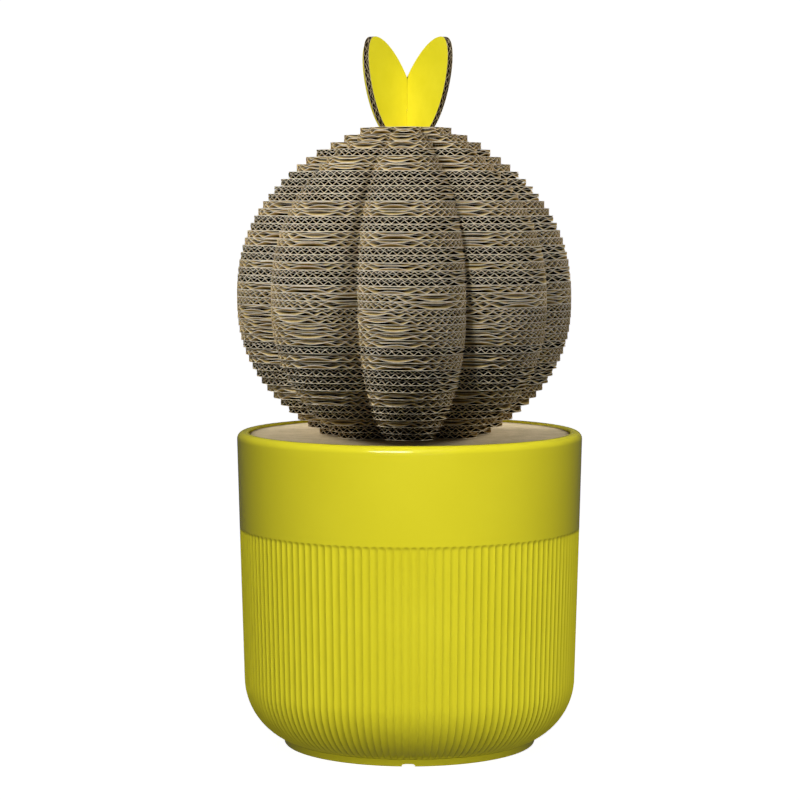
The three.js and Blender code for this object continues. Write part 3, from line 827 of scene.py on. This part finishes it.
def makeDiscs():
    tree = discTree()
    above, below = 2 * board["thickness"] * mm, -board["thickness"] * mm
    outlines = {
        "tube": ringPoints(ball["tubeHole"] * mm, ball["holePoints"]),
        "pocket": ringPoints(ball["pocketHole"] * mm, ball["holePoints"]),
        "slots": crossOutline(),
    }
    openings = {
        label: newObject(label + "Opening", prism(label, outline, below, above))
        for label, outline in outlines.items()
    }
    chance = random.Random(ball["seed"])
    for number in range(1, ball["discs"] + 1):
        letter = ball["layout"][ball["discs"] - number]
        heading = ball["fluteHeadings"][letter] + chance.uniform(-1, 1) * ball["headingSlack"]
        opening, openingX = None, stackX(number)
        if number <= ball["tubeDiscs"]:
            opening, openingX = openings["tube"], ball["spindleX"]
        elif number <= ball["tubeDiscs"] + ball["pocketDiscs"]:
            opening, openingX = openings["pocket"], ball["spindleX"]
        elif number > ball["discs"] - ball["petalDiscs"]:
            opening, openingX = openings["slots"], petals["centreX"]
        values = {
            "Radius": discRadius(number) * mm, "Lobes": ball["lobes"], "Lobe Share": ball["lobeShare"],
            "Lobe Points": ball["lobePoints"], "Lobe Heading": math.radians(ball["frontLobe"]),
            "Thickness": board["thickness"] * mm, "Opening": opening,
            "Opening X": (openingX - stackX(number)) * mm, "Has Opening": opening is not None,
            "Flute Heading": math.radians(heading - 90),  # a sheet's flutes run along Y
            "Shift": chance.uniform(0, board["largePitch"]) * mm, "Crush": board["crush"] * mm,
            "Seed": chance.uniform(0, ball["crushSeeds"]), "Face": kraft, "Edge": cutEdge,
        }
        mesh = runTree(f"disc_{number:02d}", tree, values)
        base = ball["bottom"] + (number - 1) * board["thickness"]
        mesh.transform(Matrix.Translation(Vector((stackX(number), 0, base)) * mm))
        addPiece(f"disc_{number:02d}", mesh, [f"board_{number:02d}"], "ball")
    for opening in openings.values():
        bpy.data.objects.remove(opening)


petals = dict(
    heading=46.5, centreX=-2.5,  # degrees, of the upper board, and mm
    base=31.6, bulge=(51.7, 22.7), tip=(45.3, 81.8), tipRoundOuter=17.8, tipRoundInner=14,  # mm
    shoulder=(12, 62.7), notch=40.2, tabHalf=24, tabDepth=20.25, joint=16, gap=0.4, steps=24,
    shift=2.1, span=200,  # mm
    fluteHeading=90,  # degrees, so the flutes run across the petals
    crushSeed=60.0,
)


def bezier(points, steps):
    weights = [((1 - t) ** 3, 3 * t * (1 - t) ** 2, 3 * t * t * (1 - t), t ** 3)
               for t in (i / steps for i in range(steps + 1))]
    return [tuple(sum(w * p[axis] for w, p in zip(row, points)) for axis in (0, 1)) for row in weights]


# Right half of a petal board, from the foot of its tab up over the tip to the middle, in mm. The upper
# board is slotted from below and the lower one from above, so that they cross.
def petalHalf(slotFromAbove):
    outX, tipX, tipY = petals["base"], *petals["tip"]
    halfSlot = board["thickness"] / 2 + petals["gap"]
    outer = bezier([(outX, 0), petals["bulge"], (tipX + petals["tipRoundOuter"], tipY), (tipX, tipY)],
                   petals["steps"])
    inner = bezier([(tipX, tipY), (tipX - petals["tipRoundInner"], tipY), petals["shoulder"],
                    (0, petals["notch"])], petals["steps"])[1:]
    tab = [(petals["tabHalf"], -petals["tabDepth"]), (petals["tabHalf"], 0)]
    if slotFromAbove:
        kept = [point for point in inner if point[0] > halfSlot]
        return tab + outer + kept + [(halfSlot, petals["notch"]), (halfSlot, petals["joint"])]
    slot = [(halfSlot, petals["joint"] + petals["gap"]), (halfSlot, -petals["tabDepth"])]
    return slot + tab + outer + inner


def petalTree():
    tree, given = newTree("petalBoard", {"Plate": "Geometry", "Span": "Float", **boardInputs})
    taken = {label: given[label] for label in ("Plate", "Span", *boardInputs)}
    made = addNode(tree, "GeometryNodeGroup", taken, node_tree=corrugate)
    # A petal's fluting counts as deep all over, so its channels carry the full painted shade right up to
    # the cut.
    return storePlaces(tree, made, (0, 0, 1))


def makePetals():
    tree = petalTree()
    top = ball["bottom"] + ball["discs"] * board["thickness"]
    foot = Matrix.Translation(Vector((petals["centreX"], 0, top)) * mm)
    for name, slotFromAbove, extra in (("upper", False, 0), ("lower", True, 90)):
        half = petalHalf(slotFromAbove)
        across = [(-x, y) for x, y in reversed(half) if x]
        outline = [(x * mm, y * mm) for x, y in half + across]
        plate = prism(name + "Petals", outline, 0, board["thickness"] * mm)
        mesh = runTree(f"petals_{name}", tree, {
            "Span": petals["span"] * mm, "Flute Heading": math.radians(petals["fluteHeading"]),
            "Shift": petals["shift"] * mm, "Crush": board["crush"] * mm,
            "Seed": petals["crushSeed"] + extra, "Face": printedYellow, "Edge": petalEdge}, plate)
        upright = Matrix.Rotation(math.radians(90), 4, "X")
        middle = Matrix.Translation((0, 0, -board["thickness"] / 2 * mm))
        around = Matrix.Rotation(math.radians(petals["heading"] + extra), 4, "Z")
        mesh.transform(foot @ around @ upright @ middle)
        addPiece(f"petals_{name}", mesh, [f"petal_board_{name}"], "petals")


makeDiscs()
print("ball made:", ball["discs"], "discs")
makePetals()
print("petals made")

steelLook = dict(
    colour="#c9ccce", colourDark="#a9adb2", roughness=0.34, roughnessSpread=0.06, spangle=1.2,  # mm
)


# Zinc-plated steel: bright grey metal with small, slightly duller crystals.
def platedSteel():
    material, tree, shader = newMaterial("steel, zinc plated")
    place = addNode(tree, "ShaderNodeTexCoord").outputs["Object"]
    crystals = addNode(tree, "ShaderNodeTexVoronoi", {
        "Vector": place, "Scale": 1 / (steelLook["spangle"] * mm)})
    shade = addNode(tree, "ShaderNodeSeparateColor", {0: crystals.outputs["Color"]})
    colour = addNode(tree, "ShaderNodeMix", {
        "Factor": shade, mixA: linear(steelLook["colourDark"]), mixB: linear(steelLook["colour"])},
        data_type="RGBA")
    rough, spread = steelLook["roughness"], steelLook["roughnessSpread"]
    shine = addNode(tree, "ShaderNodeMapRange", {0: shade, 3: rough - spread, 4: rough + spread})
    setInputs(tree, shader, {"Base Color": colour.outputs[mixResult], "Roughness": shine, "Metallic": 1})
    return material


steel = platedSteel()
inside = {"core_tube": kraft}
for name in ("clamp_rod", "upper_washer", "upper_nut", "lower_washer", "lower_nut"):
    inside[name] = steel
for name, surface in inside.items():
    nodes[name].data.materials.clear()
    nodes[name].data.materials.append(surface)
print("inner parts finished")
